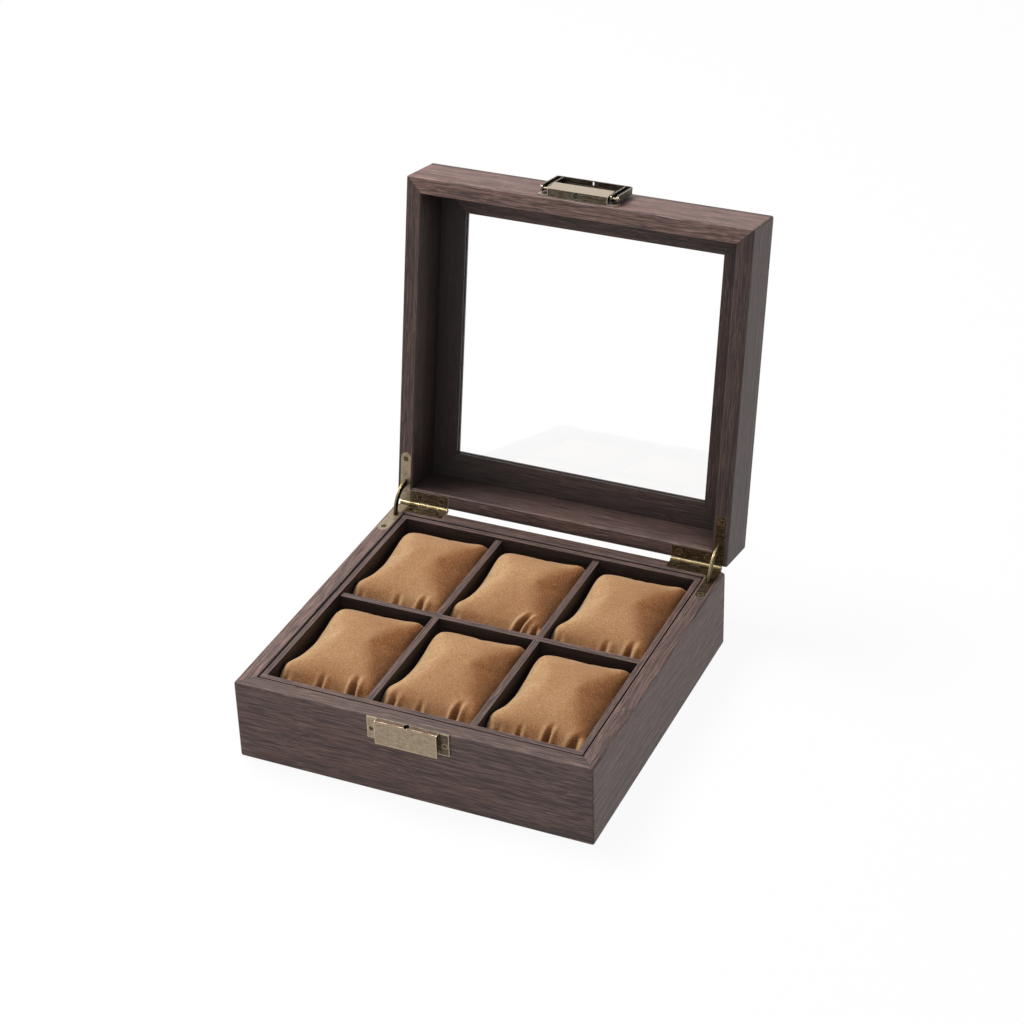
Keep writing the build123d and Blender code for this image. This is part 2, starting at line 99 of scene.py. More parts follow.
class Look:
    """One material and short ways to add its nodes."""

    def __init__(self, name):
        self.mat = bpy.data.materials.new(name)
        self.mat.use_nodes = True
        self.tree = self.mat.node_tree
        self.shader = self.tree.nodes["Principled BSDF"]

    def add(self, kind, inputs=None, **settings):
        node = self.tree.nodes.new(kind)
        for key, value in settings.items():
            setattr(node, key, value)
        for key, value in (inputs or {}).items():
            self.put(value, node.inputs[key])
        return node

    def put(self, value, socket):
        """Links a node's output to a socket, or sets a plain value on it."""
        if isinstance(value, bpy.types.NodeSocket):
            self.tree.links.new(value, socket)
        else:
            socket.default_value = value

    def shade(self, **values):
        """Sets the shader's own sockets. An underscore in a name stands for a space."""
        for key, value in values.items():
            self.put(value, self.shader.inputs[key.replace("_", " ")])

    def coords(self):
        return self.add("ShaderNodeTexCoord").outputs

    def math(self, operation, a, b=0.0):
        return self.add("ShaderNodeMath", {0: a, 1: b}, operation=operation).outputs[0]

    def vector(self, operation, a, b=(0.0, 0.0, 0.0)):
        return self.add("ShaderNodeVectorMath", {0: a, 1: b}, operation=operation).outputs

    def dot(self, a, b):
        return self.vector("DOT_PRODUCT", a, b)["Value"]

    def length(self, a):
        return self.vector("LENGTH", a)["Value"]

    def split(self, point):
        return self.add("ShaderNodeSeparateXYZ", {0: point}).outputs

    def ramp(self, value, low, high, out_low=0.0, out_high=1.0):
        ins = {"Value": value, "From Min": low, "From Max": high, "To Min": out_low, "To Max": out_high}
        return self.add("ShaderNodeMapRange", ins, interpolation_type="SMOOTHSTEP").outputs[0]

    def noise(self, where, scale=1.0, detail=2.0, rough=0.5, line=False):
        """Noise at a point in space, or at a value along a line."""
        ins = {"Scale": scale, "Detail": detail, "Roughness": rough, "W" if line else "Vector": where}
        return self.add("ShaderNodeTexNoise", ins, noise_dimensions="1D" if line else "3D").outputs["Fac"]

    def mix(self, factor, a, b):
        ins = {"Factor": factor, 6: a, 7: b}
        return self.add("ShaderNodeMix", ins, data_type="RGBA", clamp_factor=True).outputs[2]

    def stain(self, under, value, low, high, amount, colour):
        """Lays a colour over another, up to an amount, as a value goes from low to high."""
        return self.mix(self.ramp(value, low, high, 0.0, amount), under, colour)

    def veil(self, under, mask, amount, colour):
        """Lays a colour over another by an amount where a mask is 1."""
        return self.mix(self.math("MULTIPLY", mask, amount), under, colour)

    def bump(self, parts, distance, strength):
        """Dents the surface by a sum of (height, weight) pairs."""
        total = None
        for height, weight in parts:
            part = self.math("MULTIPLY", height, weight)
            total = part if total is None else self.math("ADD", total, part)
        ins = {"Height": total, "Distance": distance, "Strength": strength}
        self.shade(Normal=self.add("ShaderNodeBump", ins).outputs[0])

    def mapped(self, vector, location=(0, 0, 0), rotation=(0, 0, 0), scale=(1, 1, 1)):
        ins = {"Vector": vector, "Location": location, "Rotation": rotation, "Scale": scale}
        return self.add("ShaderNodeMapping", ins).outputs[0]

    def edges(self, radius):
        """1 where the surface turns sharply, 0 on the flats."""
        rounded = self.add("ShaderNodeBevel", {"Radius": radius}, samples=6).outputs[0]
        flat = self.add("ShaderNodeNewGeometry").outputs["Normal"]
        return self.ramp(self.dot(rounded, flat), *EDGE_TURN)

    def crevice(self, distance, low=0.35, high=0.85):
        """1 in gaps and inner corners, 0 where nothing is near."""
        node = self.add("ShaderNodeAmbientOcclusion", {"Distance": distance}, samples=6)
        return self.ramp(node.outputs["AO"], high, low)

    def cover(self, factor, over):
        """Puts another shader's output over this one, by a factor."""
        both = self.add("ShaderNodeMixShader", {0: factor, 1: self.shader.outputs[0], 2: over})
        self.put(both.outputs[0], self.tree.nodes["Material Output"].inputs["Surface"])


def closed_lid(look, point):
    """Takes a point on the open lid to where it is when the lid is shut."""
    moved = look.mapped(point, location=tuple(-HINGE))
    turned = look.mapped(moved, rotation=(LID_TURN, 0, 0))
    return look.mapped(turned, location=tuple(HINGE))


# Masks. Each finds a part of a surface from its look and coordinates, as 1 there and 0 elsewhere.
# How nearly a face has to look along a direction, from not at all to fully
FACING = (0.5, 0.9)
STRIP_SOFT = 0.00015
BORE_SOFT = 0.0004
# A knuckle's radius, from outside it to inside it, and the painted highlight along its top
KNUCKLE = (0.0022, 0.0016)
KNUCKLE_UP = (0.0, 0.10, 0.995)
KNUCKLE_HIGHLIGHT = (0.80, 0.97)


def faces(direction, facing=FACING):
    """The faces that look along a direction."""
    return lambda look, coords: look.ramp(look.dot(coords["Normal"], direction), *facing)


def sides(look, coords):
    """The faces that look left or right."""
    return look.ramp(look.math("ABSOLUTE", look.split(coords["Normal"])[0]), *FACING)


def strip(start, end):
    """What lies between two places across the box."""

    def find(look, coords):
        x = look.split(coords["Object"])[0]
        after = look.ramp(x, start - STRIP_SOFT, start + STRIP_SOFT)
        return look.math("MULTIPLY", after, look.ramp(x, end + STRIP_SOFT, end - STRIP_SOFT))

    return find


def leftward(start, end, direction):
    """The faces that look along a direction, more so from start to end across the box."""

    def find(look, coords):
        x = look.split(coords["Object"])[0]
        return look.math("MULTIPLY", look.ramp(x, start, end), faces(direction)(look, coords))

    return find


def inboard(far, near):
    """What lies nearer to the middle of the box, more so from far to near."""
    return lambda look, coords: look.ramp(look.math("ABSOLUTE", look.split(coords["Object"])[0]), far, near)


def bore(x, y, radius, lid=False):
    """An upright hole, placed as in the shut box."""

    def find(look, coords):
        point = closed_lid(look, coords["Object"]) if lid else coords["Object"]
        flat = look.mapped(point, location=(-x, -y, 0.0), scale=(1.0, 1.0, 0.0))
        return look.ramp(look.length(flat), radius + BORE_SOFT, radius)

    return find


def barrel(look, coords):
    """The hinge knuckles, by their distance from the hinge axis."""
    moved = look.mapped(coords["Object"], location=tuple(-HINGE))
    flat = look.mapped(moved, scale=(0.0, 1.0, 1.0))
    return look.ramp(look.length(flat), *KNUCKLE)


def barrel_top_highlight(look, coords):
    """The painted highlight along the top of the hinge knuckles."""
    upward = faces(KNUCKLE_UP, KNUCKLE_HIGHLIGHT)
    return look.math("MULTIPLY", barrel(look, coords), upward(look, coords))


# Walnut: growth rings of two colours round an axis beside the board, and stains over them
RING_LIGHT = (110, 86, 79)
RING_DARK = (76, 58, 55)
RING_AXIS = (0.21, -0.16)
RING_SCALE = 520.0
RING_CONTRAST = (0.36, 0.66)
SLOW_SCALE = 80.0
SEED_SHIFT = (0.731, 0.117, 0.053)
DRIFT_SCALE = (9.0, 16.0, 16.0)
DRIFT_REACH = (0.0, 0.008, 0.008)
PATCH_SCALE = (7.0, 26.0, 26.0)
# Noises that follow the grain: offset, scale along it, scale across it, detail, roughness
GRAIN_NOISES = {
    "fibre": ((0.0, 0.0, 0.0), 60.0, 2600.0, 3.0, 0.65),
    "streak": ((0.0, 0.0, 0.0), 26.0, 1250.0, 3.0, 0.65),
    "dash": ((3.1, 1.7, 0.4), 60.0, 1800.0, 2.0, 0.5),
    "fleck": ((0.7, 2.9, 1.3), 70.0, 2000.0, 2.0, 0.5),
    "pore": ((0.0, 0.0, 0.0), 150.0, 4200.0, 1.0, 0.5),
}
# Stains: noise, where it starts, where it is full, amount, colour
GRAIN_STAINS = [
    ("patch", 0.45, 0.70, 0.50, (102, 70, 60)),
    ("slow", 0.50, 0.80, 0.35, (118, 98, 92)),
    ("streak", 0.44, 0.62, 0.80, (46, 33, 33)),
    ("fleck", 0.54, 0.70, 0.45, (150, 124, 114)),
    ("dash", 0.52, 0.68, 0.80, (30, 21, 22)),
    ("fibre", 0.30, 0.72, 0.50, (44, 32, 32)),
]
PORE_CONTRAST = (0.60, 0.74)
# Veils: amount and colour
WOOD_PORE = (0.55, srgb(22, 15, 15))
WOOD_JOINT = (0.60, srgb(18, 11, 10))
WOOD_INSIDE_SHADE = (0.82, srgb(14, 9, 7))
WOOD_CREVICE_SHADE = (0.85, srgb(14, 9, 8))
# Worn edges with a painted highlight: amount and colour
WOOD_WORN_AND_HIGHLIT = 0.40
WORN_AND_HIGHLIT_COLOUR = (158, 132, 124)
SHADED_COLOUR = srgb(20, 14, 12)
WOOD_EDGE = 0.0007
CREVICE_REACH = 0.0016
INSIDE_REACH = 0.030
# Distances from a mitre: its line fades out over the first pair, worn edges with their painted highlight
# come back over the second.
MITRE_LINE = (0.00055, 0.00015)
MITRE_CLEAR = (0.0010, 0.0022)
# The least roughness, and what the fibres add
WOOD_ROUGH = 0.44
FIBRE_ROUGH = 0.22


def ring_radius(look, point, seed):
    """A point's distance from the axis of the growth rings."""
    sep = look.split(point)
    ry = look.math("SUBTRACT", sep[1], RING_AXIS[0] + seed * SEED_SHIFT[1])
    rz = look.math("SUBTRACT", sep[2], RING_AXIS[1] + seed * SEED_SHIFT[2])
    squares = look.math("ADD", look.math("MULTIPLY", ry, ry), look.math("MULTIPLY", rz, rz))
    return look.math("SQRT", squares)


def mitre_masks(look, place):
    """The line of a mitre joint, and what lies clear of it."""
    px = look.math("SUBTRACT", HALF_W, look.math("ABSOLUTE", place[0]))
    py = look.math("SUBTRACT", HALF_D, look.math("ABSOLUTE", place[1]))
    off = look.math("ABSOLUTE", look.math("SUBTRACT", px, py))
    return look.ramp(off, *MITRE_LINE), look.ramp(off, *MITRE_CLEAR)


def walnut(name, along, lid=False, seed=0.0, tone=1.0, mitre=True, shaded=(), inside=False):
    """Dark walnut with its grain along one axis. shaded gives (mask, amount) pairs of painted shade to lay
    on it.
    """
    look = Look(name)
    coords = look.coords()
    point = closed_lid(look, coords["Object"]) if lid else coords["Object"]
    place = look.split(point)
    order = (0, 1, 2) if along == "x" else (1, 0, 2)
    across = look.add("ShaderNodeCombineXYZ", {i: place[axis] for i, axis in enumerate(order)})
    grain = look.mapped(across.outputs[0], location=tuple(seed * shift for shift in SEED_SHIFT))

    # A slow drift along the board bends the grain.
    drift_ins = {"Vector": look.mapped(grain, scale=DRIFT_SCALE), "Scale": 1.0, "Detail": 2.0}
    drift = look.add("ShaderNodeTexNoise", drift_ins).outputs["Color"]
    drift = look.vector("SUBTRACT", drift, (0.5, 0.5, 0.5))[0]
    drift = look.vector("MULTIPLY", drift, DRIFT_REACH)[0]
    bent = look.vector("ADD", grain, drift)[0]
    radius = ring_radius(look, bent, seed)
    rings = look.noise(radius, scale=RING_SCALE, detail=3.0, rough=0.65, line=True)
    noises = {
        "slow": look.noise(radius, scale=SLOW_SCALE, detail=1.0, line=True),
        "patch": look.noise(look.mapped(grain, scale=PATCH_SCALE), detail=2.0),
    }
    for key, (offset, length, width, detail, rough) in GRAIN_NOISES.items():
        spot = look.mapped(bent, location=offset, scale=(length, width, width))
        noises[key] = look.noise(spot, detail=detail, rough=rough)

    def toned(colour):
        return srgb(*(c * tone for c in colour))

    body = look.mix(look.ramp(rings, *RING_CONTRAST), toned(RING_LIGHT), toned(RING_DARK))
    for key, low, high, amount, colour in GRAIN_STAINS:
        body = look.stain(body, noises[key], low, high, amount, toned(colour))
    pore = look.ramp(noises["pore"], *PORE_CONTRAST)
    body = look.veil(body, pore, *WOOD_PORE)
    # Edges lightened as wear and as a painted highlight along the arrises.
    worn_and_highlit = look.edges(WOOD_EDGE)
    if mitre:
        joint, away = mitre_masks(look, place)
        worn_and_highlit = look.math("MULTIPLY", worn_and_highlit, away)
        body = look.veil(body, joint, *WOOD_JOINT)
    body = look.veil(body, worn_and_highlit, WOOD_WORN_AND_HIGHLIT, toned(WORN_AND_HIGHLIT_COLOUR))
    # Painted shade and shadow from the shaded masks.
    for find, amount in shaded:
        body = look.veil(body, find(look, coords), amount, SHADED_COLOUR)
    # Painted shade deep inside the lid and the tray, strongest in their inner corners.
    if inside:
        body = look.veil(body, look.crevice(INSIDE_REACH, low=0.24, high=0.88), *WOOD_INSIDE_SHADE)
    # Painted shade in gaps and inner corners.
    body = look.veil(body, look.crevice(CREVICE_REACH), *WOOD_CREVICE_SHADE)

    rough = look.math("ADD", WOOD_ROUGH, look.math("MULTIPLY", noises["fibre"], FIBRE_ROUGH))
    look.shade(Base_Color=body, Roughness=rough, IOR=1.42)
    look.bump([(noises["fibre"], 0.5), (pore, -0.8)], distance=0.00012, strength=0.6)
    return look.mat


# Brass: a patina in clouds and spots, then brushing, worn edges with a painted highlight, and dirt with
# painted shade in its corners
CLOUD_CONTRAST = (0.40, 0.72)
SPOT_CONTRAST = (0.52, 0.75)
GILT_CONTRAST = (0.56, 0.70)
GILT_OFFSET = (1.3, 0.2, 2.1)
BRUSH_SCALE = (240.0, 2600.0, 2600.0)
BRUSHING = (0.40, 0.70, 0.16)
BRASS_BORE_SHADE = (0.9, srgb(22, 17, 12))
BRASS_WORN_AND_HIGHLIT = 0.85
BRASS_DIRT_AND_SHADE = 0.90
DIRT_AND_SHADE_COLOUR = srgb(16, 12, 9)
# What the clouds add to the roughness, over which part of their range, and what worn edges take away
CLOUD_ROUGH = 0.22
CLOUD_ROUGHENS = (0.35, 0.70)
WORN_SMOOTH = 0.12


def brass(name, base, patina, bright, rough=0.36, wear=0.0008, seed=0.0, masks=(), mottle=0.5,
          flecks=0.0, hole=None, hollow=0.0045):
    """Antique brass. masks gives (mask, colour, amount) triples, laid on before the worn edges with their
    painted highlight.
    hollow is how near other faces have to be for dirt and painted shade to gather."""
    look = Look(name)
    coords = look.coords()
    point = look.mapped(coords["Object"], location=(seed, seed * 0.7, seed * 0.4))
    cloud = look.noise(point, scale=420.0, detail=4.0, rough=0.65)
    spots = look.noise(point, scale=1500.0, detail=3.0, rough=0.7)
    brushed = look.noise(look.mapped(point, scale=BRUSH_SCALE), detail=2.0)
    colour = look.stain(base, cloud, *CLOUD_CONTRAST, mottle, patina)
    colour = look.stain(colour, spots, *SPOT_CONTRAST, mottle, patina)
    for find, tone, amount in masks:
        colour = look.veil(colour, find(look, coords), amount, tone)
    colour = look.stain(colour, brushed, *BRUSHING, bright)
    if flecks:
        gilt = look.noise(look.mapped(point, location=GILT_OFFSET), scale=1150.0, detail=3.0, rough=0.7)
        colour = look.stain(colour, gilt, *GILT_CONTRAST, flecks, bright)
    worn_and_highlit = look.edges(wear)
    if hole is not None:
        bored = hole(look, coords)
        worn_and_highlit = look.math("MULTIPLY", worn_and_highlit, look.math("SUBTRACT", 1.0, bored))
        # Painted shade inside the hole.
        colour = look.veil(colour, bored, *BRASS_BORE_SHADE)
    # Edges brightened as wear and as a painted highlight.
    colour = look.veil(colour, worn_and_highlit, BRASS_WORN_AND_HIGHLIT, bright)

    # Dirt and painted shade in the hollows are not metal, so they take the shine away too.
    dirt_and_shade = look.math("MULTIPLY", look.crevice(hollow, low=0.25, high=0.85), BRASS_DIRT_AND_SHADE)
    clean = look.math("SUBTRACT", 1.0, dirt_and_shade)
    cloudy = look.math("MULTIPLY", look.ramp(cloud, *CLOUD_ROUGHENS), CLOUD_ROUGH)
    value = look.math("ADD", rough, cloudy)
    value = look.math("SUBTRACT", value, look.math("MULTIPLY", worn_and_highlit, WORN_SMOOTH))
    look.shade(Base_Color=look.mix(dirt_and_shade, colour, DIRT_AND_SHADE_COLOUR), Metallic=clean, Roughness=value)
    look.shade(Specular_IOR_Level=look.math("MULTIPLY", clean, 0.5))
    look.bump([(spots, 0.6), (brushed, 0.4)], distance=0.00008, strength=0.5)
    return look.mat


# Suede: slopes that face away from the key lamp, along the direction below, take a deeper colour as painted
# shade.
SHADE_SIDE = (0.86, -0.15, -0.36)
# Where that facing gives the lit colour, and where the deep colour of the painted shade
SHADE_TURN = (-0.95, 0.20)
NAP_SCALE = (1300.0, 800.0, 1300.0)
SUEDE_LIT = srgb(193, 160, 121)
SUEDE_SHADED = srgb(122, 74, 41)
# Stains: where each starts, where it is full, amount, colour
SUEDE_MOTTLE = (0.42, 0.72, 0.36, srgb(150, 100, 61))
SUEDE_NAP = (0.36, 0.68, 0.42, srgb(121, 75, 41))
SUEDE_SPECK = (0.50, 0.70, 0.42, srgb(222, 184, 138))
# Painted shade in creases: amount and colour, then how near other faces have to be
SUEDE_CREASE_SHADE = (0.55, srgb(70, 42, 24))
SUEDE_CREASE_SHADE_REACH = 0.0050


def suede(name, seed):
    look = Look(name)
    coords = look.coords()
    point = look.mapped(coords["Object"], location=(seed, seed * 0.31, seed * 0.17))
    soft = look.noise(point, scale=34.0, detail=3.0, rough=0.55)
    mottle = look.noise(point, scale=260.0, detail=3.0, rough=0.6)
    nap = look.noise(look.mapped(point, scale=NAP_SCALE), detail=2.0, rough=0.6)
    speck = look.noise(point, scale=2600.0, detail=2.0)
    uneven = look.math("MULTIPLY", look.math("SUBTRACT", soft, 0.5), 0.5)
    # Painted shade: slopes facing away from the key lamp take the deep colour.
    side = look.math("ADD", look.dot(coords["Normal"], SHADE_SIDE), uneven)
    colour = look.mix(look.ramp(side, *SHADE_TURN), SUEDE_LIT, SUEDE_SHADED)
    colour = look.stain(colour, mottle, *SUEDE_MOTTLE)
    colour = look.stain(colour, nap, *SUEDE_NAP)
    colour = look.stain(colour, speck, *SUEDE_SPECK)
    # Painted shade in the creases and where the cover comes near other faces.
    crease_shade = look.crevice(SUEDE_CREASE_SHADE_REACH, low=0.20, high=0.75)
    colour = look.veil(colour, crease_shade, *SUEDE_CREASE_SHADE)
    look.shade(Base_Color=colour, Roughness=0.95, Specular_IOR_Level=0.15)
    look.shade(Sheen_Weight=0.40, Sheen_Roughness=0.30, Sheen_Tint=(1.0, 0.86, 0.68, 1.0))
    look.bump([(nap, 0.6), (speck, 0.3), (mottle, 0.8)], distance=0.00024, strength=0.8)
    return look.mat


def clear_glass(name):
    """Glass that lets the lamps' light straight through."""
    look = Look(name)
    look.shade(Base_Color=(0.997, 0.999, 0.998, 1.0), Roughness=0.0, IOR=1.46)
    look.shade(Transmission_Weight=1.0, Specular_IOR_Level=0.15)
    through = look.add("ShaderNodeBsdfTransparent").outputs[0]
    look.cover(look.add("ShaderNodeLightPath").outputs["Is Shadow Ray"], through)
    return look.mat


def dress(node, material):
    mesh = nodes[node].data
    mesh.materials.clear()
    mesh.materials.append(material)


# Wood: painted shade and shadow, as (mask, amount), on faces turned from the light, along the gap beside
# the tray and in the lid's back corners; and each side's tone
GAP_SPREAD = 0.00035
CORNER_RANGE = (0.01, -0.09)
right_face_shade = (faces((1.0, 0.0, 0.0)), 0.5)
front_face_shade = (faces((0.0, -1.0, 0.0)), 0.3)
left_gap_shade = (strip(-WALL_INSIDE - GAP_SPREAD, -TRAY_OUTSIDE + GAP_SPREAD), 0.9)
back_corner_shadow = (leftward(*CORNER_RANGE, FRONT_SHUT), 0.6)
rail_corner_shadow = (leftward(*CORNER_RANGE, DOWN_SHUT), 0.6)
rail_under_shade = (faces(DOWN_SHUT), 0.75)
BASE_SHADED = {"left": [left_gap_shade]}
LID_SHADED = {"left": [right_face_shade], "back": [back_corner_shadow]}
RAIL_SHADED = {"left": [rail_under_shade], "back": [rail_corner_shadow]}
TRAY_SHADED = {"left": [right_face_shade, left_gap_shade], "back": [front_face_shade]}
# Each side's tone is painted light and shade: it brightens the lit and top-facing boards and darkens the
# lid's right side and its rails.
BASE_PAINTED_LIGHT_TONES = {"left": 1.26, "right": 1.10, "front": 1.02, "back": 1.02}
LID_PAINTED_LIGHT_TONES = {"left": 0.95, "right": 0.84, "front": 1.30, "back": 1.12}
RAIL_PAINTED_SHADE_TONE = 0.92
for number, side in enumerate(("front", "back", "left", "right")):
    along = "x" if side in ("front", "back") else "y"
    dress("base_%s_wall" % side, walnut(
        "walnut_base_" + side, along, seed=1.0 + number * 1.7, tone=BASE_PAINTED_LIGHT_TONES[side],
        shaded=BASE_SHADED.get(side, []),
    ))
    dress("lid_%s_wall" % side, walnut(
        "walnut_lid_" + side, along, lid=True, seed=9.0 + number * 1.3, tone=LID_PAINTED_LIGHT_TONES[side],
        shaded=LID_SHADED.get(side, []), inside=True,
    ))
    dress("lid_%s_rail" % side, walnut(
        "walnut_rail_" + side, along, lid=True, seed=17.0 + number * 1.9, tone=RAIL_PAINTED_SHADE_TONE,
        shaded=RAIL_SHADED.get(side, []), inside=True,
    ))
    dress("tray_%s_wall" % side, walnut(
        "walnut_tray_" + side, along, seed=26.0 + number * 1.1, mitre=False,
        shaded=TRAY_SHADED.get(side, []), inside=True,
    ))
dress("base_bottom_panel", walnut("walnut_panel", "x", seed=41.0, tone=0.95, mitre=False))
dress("tray_floor", walnut("walnut_floor", "x", seed=47.0, tone=0.9, mitre=False, inside=True))
dress("divider_cross", walnut(
    "walnut_cross", "x", seed=52.0, mitre=False, shaded=[front_face_shade], inside=True,
))
for number, side in enumerate(("left", "right")):
    dress("divider_" + side, walnut(
        "walnut_divider_" + side, "y", seed=57.0 + number * 2.3, mitre=False,
        shaded=[right_face_shade], inside=True,
    ))

# Metal
dusk = srgb(80, 66, 50)
gold = srgb(214, 196, 152)
black = srgb(22, 18, 14)
# Holes: place across, place along and radius, in the shut box
CATCH_HOLE = (0.0, -0.1024, 0.0016)
CLASP_HOLE = (-0.0007, -0.1034, 0.0016)
PIN_MIDDLE = CLASP_PIN_END - 0.0053
knuckles = (barrel, srgb(90, 76, 52), 0.9)
# Painted highlight along the top of the knuckles.
knuckle_highlight = (barrel_top_highlight, srgb(206, 190, 150), 0.9)
dark_wing = (inboard(WALL_INSIDE + 0.0021, WALL_INSIDE + 0.0001), srgb(42, 28, 21), 0.93)
# Painted shade on the stays' faces that look left and right.
dark_sides = (sides, black, 0.92)
left_stay_shade = (strip(-STAY_X - 0.0001, -STAY_X + 0.0020), black, 0.92)
right_stay_shade = (strip(STAY_X - 0.0002, STAY_X + 0.0016), dusk, 0.9)
# Painted shade on the catch's top face.
catch_top_shade = (faces((0, 0, 1)), srgb(76, 60, 54), 0.95)
# Painted shade on the catch's right ear.
catch_right_ear_shade = (strip(CATCH_END - 0.0056, CATCH_END - 0.0002), srgb(58, 48, 40), 0.85)
clasp_under = (faces(DOWN_SHUT), srgb(48, 39, 26), 0.94)
# Painted shade on the middle of the clasp pin, inside the housing.
clasp_pin_middle_shade = (strip(-PIN_MIDDLE, PIN_MIDDLE), srgb(12, 10, 8), 0.98)

left_leaf = brass(
    "brass_leaf_left", srgb(142, 128, 112), dusk, gold, seed=0.4, wear=0.0005, flecks=0.34,
    masks=[dark_wing, knuckles, knuckle_highlight],
)
right_leaf = brass(
    "brass_leaf_right", srgb(54, 42, 32), srgb(27, 21, 16), srgb(176, 156, 112), seed=1.6, wear=0.0002,
    masks=[knuckles, knuckle_highlight], mottle=0.8, flecks=0.55,
)
left_stay = brass(
    "brass_stay_left", srgb(118, 102, 76), dusk, srgb(176, 158, 118), rough=0.46, seed=2.8,
    masks=[dark_sides, left_stay_shade], mottle=0.4,
)
right_stay = brass(
    "brass_stay_right", srgb(140, 124, 94), dusk, srgb(190, 172, 130), rough=0.44, seed=3.5,
    masks=[dark_sides, right_stay_shade], mottle=0.4,
)
pins = brass("brass_pins", srgb(110, 94, 64), dusk, gold, seed=4.4, wear=0.0002)
catch_metal = brass(
    "brass_catch", srgb(150, 134, 114), srgb(112, 98, 82), srgb(220, 205, 172), seed=5.2,
    masks=[catch_top_shade, catch_right_ear_shade], hole=bore(*CATCH_HOLE),
)
clasp_metal = brass(
    "brass_clasp", srgb(178, 164, 146), srgb(120, 106, 90), srgb(210, 198, 174), seed=6.1,
    masks=[clasp_under], hole=bore(*CLASP_HOLE, lid=True), hollow=0.010,
)
ring_metal = brass(
    "brass_ring", srgb(62, 51, 38), srgb(34, 27, 20), srgb(204, 198, 184), seed=7.3, wear=0.0005,
)
clasp_pin_metal = brass(
    "brass_clasp_pin", srgb(150, 138, 114), dusk, gold, rough=0.42, seed=9.2, wear=0.0001,
    masks=[clasp_pin_middle_shade],
)
screw_metal = brass(
    "brass_screws", srgb(56, 46, 34), srgb(30, 24, 18), srgb(186, 168, 128), rough=0.32, seed=8.1,
    wear=0.0003,
)
for side, leaf, stay in (("left", left_leaf, left_stay), ("right", right_leaf, right_stay)):
    dress("hinge_base_leaf_" + side, leaf)
    dress("hinge_lid_leaf_" + side, leaf)
    dress("hinge_pin_" + side, pins)
    dress("stay_" + side, stay)
dress("catch_plate", catch_metal)
dress("clasp_housing", clasp_metal)
dress("clasp_pin", clasp_pin_metal)
dress("clasp_ring", ring_metal)
for node in ("hinge_screws_base", "hinge_screws_lid", "catch_screws", "clasp_screws"):
    dress(node, screw_metal)
dress("glass_pane", clear_glass("glass"))


# Pillows
def closed_box(na, nb, nc):
    """Vertices on the faces of a cube from -1 to 1, as a closed grid, and its quads."""
    index, points, quads = {}, [], []

    def at(i, j, k):
        key = (i, j, k)
        if key not in index:
            index[key] = len(points)
            points.append((2 * i / na - 1, 2 * j / nb - 1, 2 * k / nc - 1))
        return index[key]

    for i in range(na):
        for j in range(nb):
            quads.append((at(i, j, nc), at(i + 1, j, nc), at(i + 1, j + 1, nc), at(i, j + 1, nc)))
            quads.append((at(i, j, 0), at(i, j + 1, 0), at(i + 1, j + 1, 0), at(i + 1, j, 0)))
    for i in range(na):
        for k in range(nc):
            quads.append((at(i, 0, k), at(i + 1, 0, k), at(i + 1, 0, k + 1), at(i, 0, k + 1)))
            quads.append((at(i, nb, k), at(i, nb, k + 1), at(i + 1, nb, k + 1), at(i + 1, nb, k)))
    for j in range(nb):
        for k in range(nc):
            quads.append((at(0, j, k), at(0, j, k + 1), at(0, j + 1, k + 1), at(0, j + 1, k)))
            quads.append((at(na, j, k), at(na, j + 1, k), at(na, j + 1, k + 1), at(na, j, k + 1)))
    return points, quads


def mixed(a, b, t):
    return a + (b - a) * t


def smooth(t):
    t = min(1.0, max(0.0, t))
    return t * t * (3 - 2 * t)


# The cover's grid. The cloth is worked out at SIM_SCALE times its size, and no point moves past MAX_TRAVEL.
GRID = (30, 40, 20)
SIM_SCALE = 8.0
SIM_FRAMES = 18
PRESSURE = 2.5
MAX_TRAVEL = 0.006
# How far the cover may stand out past the pillow's box at the sides, the front and the back
SLACK_SIDE = 0.0002
SLACK_FRONT = 0.0004
SLACK_BACK = 0.0012

# The slack cover is drawn in millimetres. Each level gives its height over the foot, its insets
# from the widest side, front and back, and how far its sides draw in.
MM_PER_M = 1000
PILLOW_LEVELS = [
    (0.0, 6.3, 8.0, 8.0, -1.2),
    (5.0, 1.8, 2.5, 3.0, -0.8),
    (16.0, 0.3, 0.4, 0.8, -0.2),
    (28.0, 0.2, 3.0, 0.6, 1.4),
    (35.5, 0.6, 8.0, 0.6, 2.6),
]
SHOULDER = PILLOW_LEVELS[-1][0]
# The top's rise, how far it leans back, and how boxy its arch is from the middle to the back edge
CROWN = 8.2
CROWN_SHIFT = 1.5
CROWN_MIDDLE = 2.4
CROWN_BACK = 3.6
# How far the corners are cut, as a share of the width and of the depth, and how tightly
CORNER_X = 0.10
CORNER_Y = 0.07
CORNER_POWER = 8
# The part of the sides' drawing in that the front and the back have. The back bulges.
DRAW_FRONT = 0.5
DRAW_BACK = -0.2
# From here on, a place on the grid counts as its top, its front or its foot.
RIM = 0.999

# Ears at the corners: place on the grid, pull to the right, back and up, and how far it reaches
EARS = [
    (-1, -0.84, 0.9, -0.0026, -0.0006, 0.0014, 0.20),
    (-1, -1, 0.75, -0.0020, -0.0016, -0.0010, 0.28),
    (1, 0.98, 0.95, 0.0030, 0.0, 0.0030, 0.26),
    (1, -1, 0.9, 0.0020, -0.0012, 0.0006, 0.30),
]
EAR_SQUEEZE = 1.6
# Creases run over the top's front edge and fade down the front. Beside each one the cloth swells.
FRONT_LENGTH = 0.46
CREASE_START = 0.24
CREASE_FADE = (1.25, 0.5)
SWELL = 0.42
SWELL_AT = 2.3
SWELL_WIDTH = 1.2


